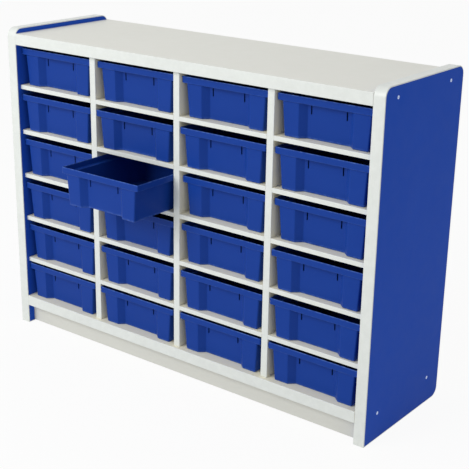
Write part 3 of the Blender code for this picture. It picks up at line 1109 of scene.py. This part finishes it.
    def rings(self) -> tuple[Array, Array, list[int]]:
        """The tray's surface as rings, from under the foot, over the collar and down inside.

        Each ring of the profile has its height, its distance inwards, its spread from the body to
        the collar and how much rubbing it shows, with a painted highlight on the rim. Rounded edges take
        the first two from quarter and half circles.

        Returns:
            The rings' points, how much rubbing each ring shows, with a painted highlight on the rim, and
            the index of each ring that a slot ends at.
        """
        full, wall, slope = self.size[2], self.wall, self.slope
        edge = full - self.collar
        top = edge - slope
        low, high = self.slot[3], self.slot[3] + self.slot[2]
        r, w = self.foot_radius, self.well_radius
        foot = arc((r, r), r, 270.0, 180.0, 5)
        rim = arc((wall / 2, full - wall / 2), wall / 2, 180.0, 0.0, 8)
        rim_foot = full - wall / 2 - 0.0012
        well = arc((wall + w, self.floor + w), w, 180.0, 270.0, 5)
        ring, slant, hollow = self.foot_hollow
        profile = [(hollow, ring + slant, 0.0, 0.0), (0.0, ring, 0.0, 0.1)]
        profile += [(z, inward, 0.0, 0.7) for inward, z in foot]
        profile += [(0.0060, 0.0, 0.0, 0.0), (low, 0.0, 0.0, 0.0), (high, 0.0, 0.0, 0.0)]
        profile += [(top - 0.0022, 0.0, 0.0, 0.0), (top - 0.0008, 0.0, 0.02, 0.0),
                    (top - 0.0001, 0.0, 0.06, 0.0), (top + 0.0002, 0.0, 0.14, 0.0),
                    (top + slope * 0.93, 0.0, 0.93, 0.0)]
        profile += [(edge + 0.0001, 0.0002, 1.0, 0.4), (edge + 0.0006, 0.0, 1.0, 0.4),
                    (edge + 0.0016, 0.0, 1.0, 0.0), (rim_foot, 0.0, 1.0, 0.0)]
        # The rim gets full rubbing: its paler colour is partly rubbing and partly a painted highlight.
        profile += [(z, inward, 1.0, 1.0) for inward, z in rim]
        profile += [(rim_foot, wall, 1.0, 0.0), (edge + wall + 0.0010, wall, 1.0, 0.0),
                    (edge + wall + 0.0001, wall, 0.985, 0.0)]
        profile += [(top + wall + slope * share, wall, share, worn_and_sheen) for share, worn_and_sheen in
                    ((0.91, 0.0), (0.10, 0.0), (0.03, 0.6))]
        profile += [(top + wall - 0.0004, wall, 0.0, 0.6), (top + wall - 0.0014, wall, 0.0, 0.0)]
        profile += [(z, wall, 0.0, 0.0) for z in (high, low)]
        profile += [(z, inward, 0.0, 0.1) for inward, z in well]
        rings = np.stack([self.outline(z, inward, spread) for z, inward, spread, _ in profile])
        worn_and_sheen = np.array([p[3] for p in profile])
        ends = [n for n, p in enumerate(profile) if p[0] in (low, high) and p[3] == 0.0]
        return rings, worn_and_sheen, ends

    def surface(self) -> tuple[Array, list[list[int]], Array]:
        """The closed surface of one tray whose middle front foot is at the origin.

        The quads between the slots' rings and columns are left out of both walls, and four quads
        join the two holes' edges through the wall.

        Returns:
            The points, the faces and how much rubbing each point shows, with a painted highlight on the
            rim.
        """
        rings, worn_and_sheen, ends = self.rings()
        count, around = rings.shape[:2]
        quads = ring_quads(count, around).reshape(count - 1, around, 4)
        keep = np.ones((count - 1, around), bool)
        outer_low, outer_high, inner_high, inner_low = ends
        left = len(self.front_line(0.0, 0.0)) // 2 - 2
        bridges = []
        for column in (left, left + 2):
            keep[outer_low:outer_high, column] = False
            keep[inner_high:inner_low, column] = False
            outer = [outer_low * around + column, outer_low * around + column + 1,
                     outer_high * around + column + 1, outer_high * around + column]
            inner = [inner_low * around + column, inner_low * around + column + 1,
                     inner_high * around + column + 1, inner_high * around + column]
            for k in range(4):
                n = (k + 1) % 4
                bridges.append([outer[k], outer[n], inner[n], inner[k]])
        faces = quads[keep].tolist() + bridges + end_faces(count, around)
        return rings.reshape(-1, 3), faces, np.repeat(worn_and_sheen, around)


@dataclass
class TraySet:
    """A tray in every compartment.

    Attributes:
        columns: Columns of compartments.
        rows: Rows of compartments.
        tray: The tray's sizes.
        finishes: The finishes to use.
    """

    columns: int
    rows: int
    tray: Tray
    finishes: Finishes

    def build(self) -> list[bpy.types.Object]:
        """Build each tray where its CAD node stands.

        Returns:
            The trays.
        """
        plastic = self.finishes.tray_plastic.material()
        points, faces, wear_and_sheen = self.tray.surface()
        pieces = []
        for column in range(1, self.columns + 1):
            for row in range(1, self.rows + 1):
                node = f"tray_c{column}_r{row}"
                low, high = node_box(node)
                origin = np.array([(low[0] + high[0]) / 2, low[1], low[2]])
                piece = make_piece(node + "_tub", points + origin, faces, (plastic,), wear_and_sheen=wear_and_sheen,
                                   sharp=TRAY_SHARP)
                settle(piece, node, [node])
                pieces.append(piece)
        return pieces


# The studio


@dataclass
class Studio:
    """A white floor and surroundings, a soft key light and the camera.

    Attributes:
        position: The camera's place.
        turn: The camera's rotation about X, Y and Z, in degrees.
        lens: Focal length in millimetres on a 36 mm wide frame.
        shift: Shift of the frame's centre, as a share of its width.
        ambient: Strength of the surroundings' light.
        key_watts: Power of the key light.
        floor_colour: Colour that the floor gives back.
        floor_glow: How far the floor's own white hides the shadows on it.
        floor_drop: How far the floor lies below the unit's feet.
        floor_sides: Straight sides of the floor's round edge.
    """

    position: Triple = (1.62642, -2.00826, 1.25148)
    turn: Triple = (70.0204, -0.8579, 37.8199)
    lens: float = 85.589
    shift: tuple[float, float] = (0.00886, 0.02682)
    ambient: float = 0.575
    key_watts: float = 97.0
    floor_colour: Colour = (0.78, 0.78, 0.77)
    floor_glow: float = 0.93
    floor_drop: float = 0.0004
    floor_sides: int = 64

    def surroundings(self) -> None:
        """A world that is white to look at and gives an even, weaker light."""
        world = bpy.data.worlds.new("surroundings")
        world.use_nodes = True
        graph = Graph(world.node_tree)
        graph.tree.nodes.clear()
        light, white = (graph.add("ShaderNodeBackground", Color=WHITE, Strength=strength)
                        for strength in (self.ambient, 1.0))
        both = graph.mix(graph.seen(), light.outputs["Background"], white.outputs["Background"])
        graph.join(both, graph.add("ShaderNodeOutputWorld").inputs["Surface"])
        bpy.context.scene.world = world

    def floor(self) -> bpy.types.Object:
        """Lay a wide white floor that keeps a faint shadow and hides nothing seen from below.

        Returns:
            The floor.
        """
        radii = np.array([0.02, 0.6, 1.5, 4.0, 12.0, 40.0])
        sides = self.floor_sides
        angle = 2 * np.pi * np.arange(sides) / sides
        plan = radii[:, None, None] * np.stack([np.cos(angle), np.sin(angle)], axis=-1)
        level = np.full((*plan.shape[:2], 1), -self.floor_drop)
        points = np.concatenate([plan, level], axis=2).reshape(-1, 3)
        faces = ring_quads(len(radii), sides)[:, ::-1].tolist() + [list(range(sides))]
        mesh = bpy.data.meshes.new("studio_floor")
        mesh.from_pydata(points.tolist(), [], faces)
        material = bpy.data.materials.new("studio_floor")
        material.use_nodes = True
        graph = Graph(material.node_tree)
        graph.tree.nodes.clear()
        matt = graph.add("ShaderNodeBsdfDiffuse", Color=(*self.floor_colour, 1.0))
        glow = graph.add("ShaderNodeEmission", Color=WHITE)
        clear = graph.add("ShaderNodeBsdfTransparent")
        under = graph.add("ShaderNodeNewGeometry")
        share = graph.work_out("MULTIPLY", graph.seen(), self.floor_glow)
        upper = graph.mix(share, matt.outputs["BSDF"], glow.outputs["Emission"])
        sided = graph.mix(under.outputs["Backfacing"], upper, clear.outputs["BSDF"])
        graph.join(sided, graph.add("ShaderNodeOutputMaterial").inputs["Surface"])
        mesh.materials.append(material)
        floor = put("studio_floor", mesh)
        return floor

    def lamp(self, name: str, place: Triple, turn: Triple, size: float, watts: float) -> bpy.types.Object:
        """Hang a square area lamp.

        Args:
            name: The lamp's name.
            place: Where it hangs.
            turn: Its rotation about X, Y and Z, in degrees.
            size: Length of its sides.
            watts: Its power.

        Returns:
            The lamp.
        """
        data = bpy.data.lights.new(name, "AREA")
        data.shape = "SQUARE"
        data.size = size
        data.energy = watts
        lamp = put(name, data)
        lamp.location = place
        lamp.rotation_euler = [math.radians(a) for a in turn]
        return lamp

    def camera(self) -> bpy.types.Object:
        """Set the camera at the photograph's viewing angle.

        Returns:
            The camera.
        """
        data = bpy.data.cameras.new("photograph")
        data.sensor_fit = "HORIZONTAL"
        data.sensor_width = 36.0
        data.lens = self.lens
        data.shift_x, data.shift_y = self.shift
        data.clip_end = 200.0
        camera = put("photograph", data)
        camera.location = self.position
        camera.rotation_euler = [math.radians(a) for a in self.turn]
        bpy.context.scene.camera = camera
        return camera

    def build(self) -> None:
        """Set the stage, the lights and the camera."""
        self.camera()
        self.surroundings()
        self.floor()
        self.lamp("key_light", (-1.4, -3.4, 2.4), (58.0, 0.0, -22.0), 2.2, self.key_watts)
        bpy.context.scene.view_settings.view_transform = "Standard"


def main() -> None:
    """Build the studio and the unit in order, and report each piece."""
    logging.basicConfig(level=logging.INFO, format="%(name)s: %(message)s")
    finishes = Finishes()
    columns, rows = 4, 6
    Studio().build()
    LOG.info("studio and camera ready")
    for assembly in (Case(columns, rows, finishes), TraySet(columns, rows, Tray(), finishes)):
        for piece in assembly.build():
            LOG.info("built %s with %d faces", piece.name, len(piece.data.polygons))


if __name__ == "__main__":
    main()
